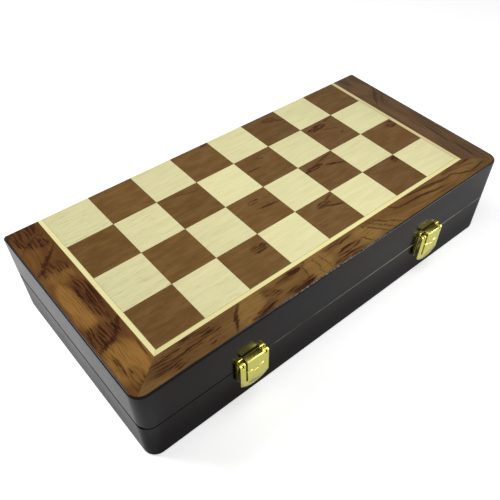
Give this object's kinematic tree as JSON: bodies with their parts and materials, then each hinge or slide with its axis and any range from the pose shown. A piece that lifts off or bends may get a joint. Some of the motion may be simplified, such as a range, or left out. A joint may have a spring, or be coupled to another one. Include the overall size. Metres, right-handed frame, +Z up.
{
  "type": "folding chess box",
  "caption": "Folding wooden chess box: two hinged shallow trays with an inlaid half board on each outer face and brass draw latches on the long front side.",
  "frame": {"origin": "centre of the underside, between the long sides of the wooden case", "axes": "+X along the box to the right seen from the latches, +Y to the hinges, +Z up"},
  "size_m": [0.3, 0.152, 0.0635],
  "materials": {
    "lacquered_wood": "satin dark lacquer",
    "maple": "satin",
    "walnut": "satin",
    "inlay": "satin",
    "figured_veneer": "satin, figured",
    "felt": "felt",
    "brass": "polished",
    "steel": "drawn"
  },
  "bodies": {
    "lower_case": {"tray_front_wall": "lacquered_wood", "tray_back_wall": "lacquered_wood", "tray_left_wall": "lacquered_wood", "tray_right_wall": "lacquered_wood", "tray_panel": "lacquered_wood", "tray_light_squares": "maple", "tray_dark_squares": "walnut", "tray_inlay_strips": "inlay", "tray_border_left": "figured_veneer", "tray_border_right": "figured_veneer", "tray_border_front": "figured_veneer", "tray_felt_lining": "felt", "tray_hinge_screws": "brass", "tray_latch_nails": "brass", "hinge_left_tray_leaf": "brass", "hinge_left_pin": "steel", "latch_left_base": "brass", "latch_left_lever_rivets": "brass", "hinge_right_tray_leaf": "brass", "hinge_right_pin": "steel", "latch_right_base": "brass", "latch_right_lever_rivets": "brass"},
    "lid": {"lid_front_wall": "lacquered_wood", "lid_back_wall": "lacquered_wood", "lid_left_wall": "lacquered_wood", "lid_right_wall": "lacquered_wood", "lid_panel": "lacquered_wood", "lid_light_squares": "maple", "lid_dark_squares": "walnut", "lid_inlay_strips": "inlay", "lid_border_left": "figured_veneer", "lid_border_right": "figured_veneer", "lid_border_front": "figured_veneer", "lid_felt_lining": "felt", "lid_hinge_screws": "brass", "lid_latch_nails": "brass", "hinge_left_lid_leaf": "brass", "latch_left_keeper": "brass", "hinge_right_lid_leaf": "brass", "latch_right_keeper": "brass"},
    "lever_left": {"latch_left_lever": "brass", "latch_left_link_pin": "brass"},
    "link_left": {"latch_left_link": "brass"},
    "lever_right": {"latch_right_lever": "brass", "latch_right_link_pin": "brass"},
    "link_right": {"latch_right_link": "brass"}
  },
  "joints": [
    {"name": "lid_hinge", "type": "hinge", "parent": "lower_case", "child": "lid", "pos_m": [0, 0.07265, 0.03175], "axis": [-1, 0, 0], "range_deg": [0, 180]},
    {"name": "lever_left_pivot", "type": "hinge", "parent": "lower_case", "child": "lever_left", "pos_m": [-0.079, -0.07515, 0.0369], "axis": [-1, 0, 0], "range_deg": [0, 120]},
    {"name": "link_left_pivot", "type": "hinge", "parent": "lever_left", "child": "link_left", "pos_m": [-0.079, -0.0764, 0.0291], "axis": [-1, 0, 0], "range_deg": [-96, 0]},
    {"name": "lever_right_pivot", "type": "hinge", "parent": "lower_case", "child": "lever_right", "pos_m": [0.079, -0.07515, 0.0369], "axis": [-1, 0, 0], "range_deg": [0, 120]},
    {"name": "link_right_pivot", "type": "hinge", "parent": "lever_right", "child": "link_right", "pos_m": [0.079, -0.0764, 0.0291], "axis": [-1, 0, 0], "range_deg": [-96, 0]}
  ],
  "couplings": [
    {"joint": "link_left_pivot", "follows": "lever_left_pivot", "ratio": -0.8},
    {"joint": "link_right_pivot", "follows": "lever_right_pivot", "ratio": -0.8}
  ]
}
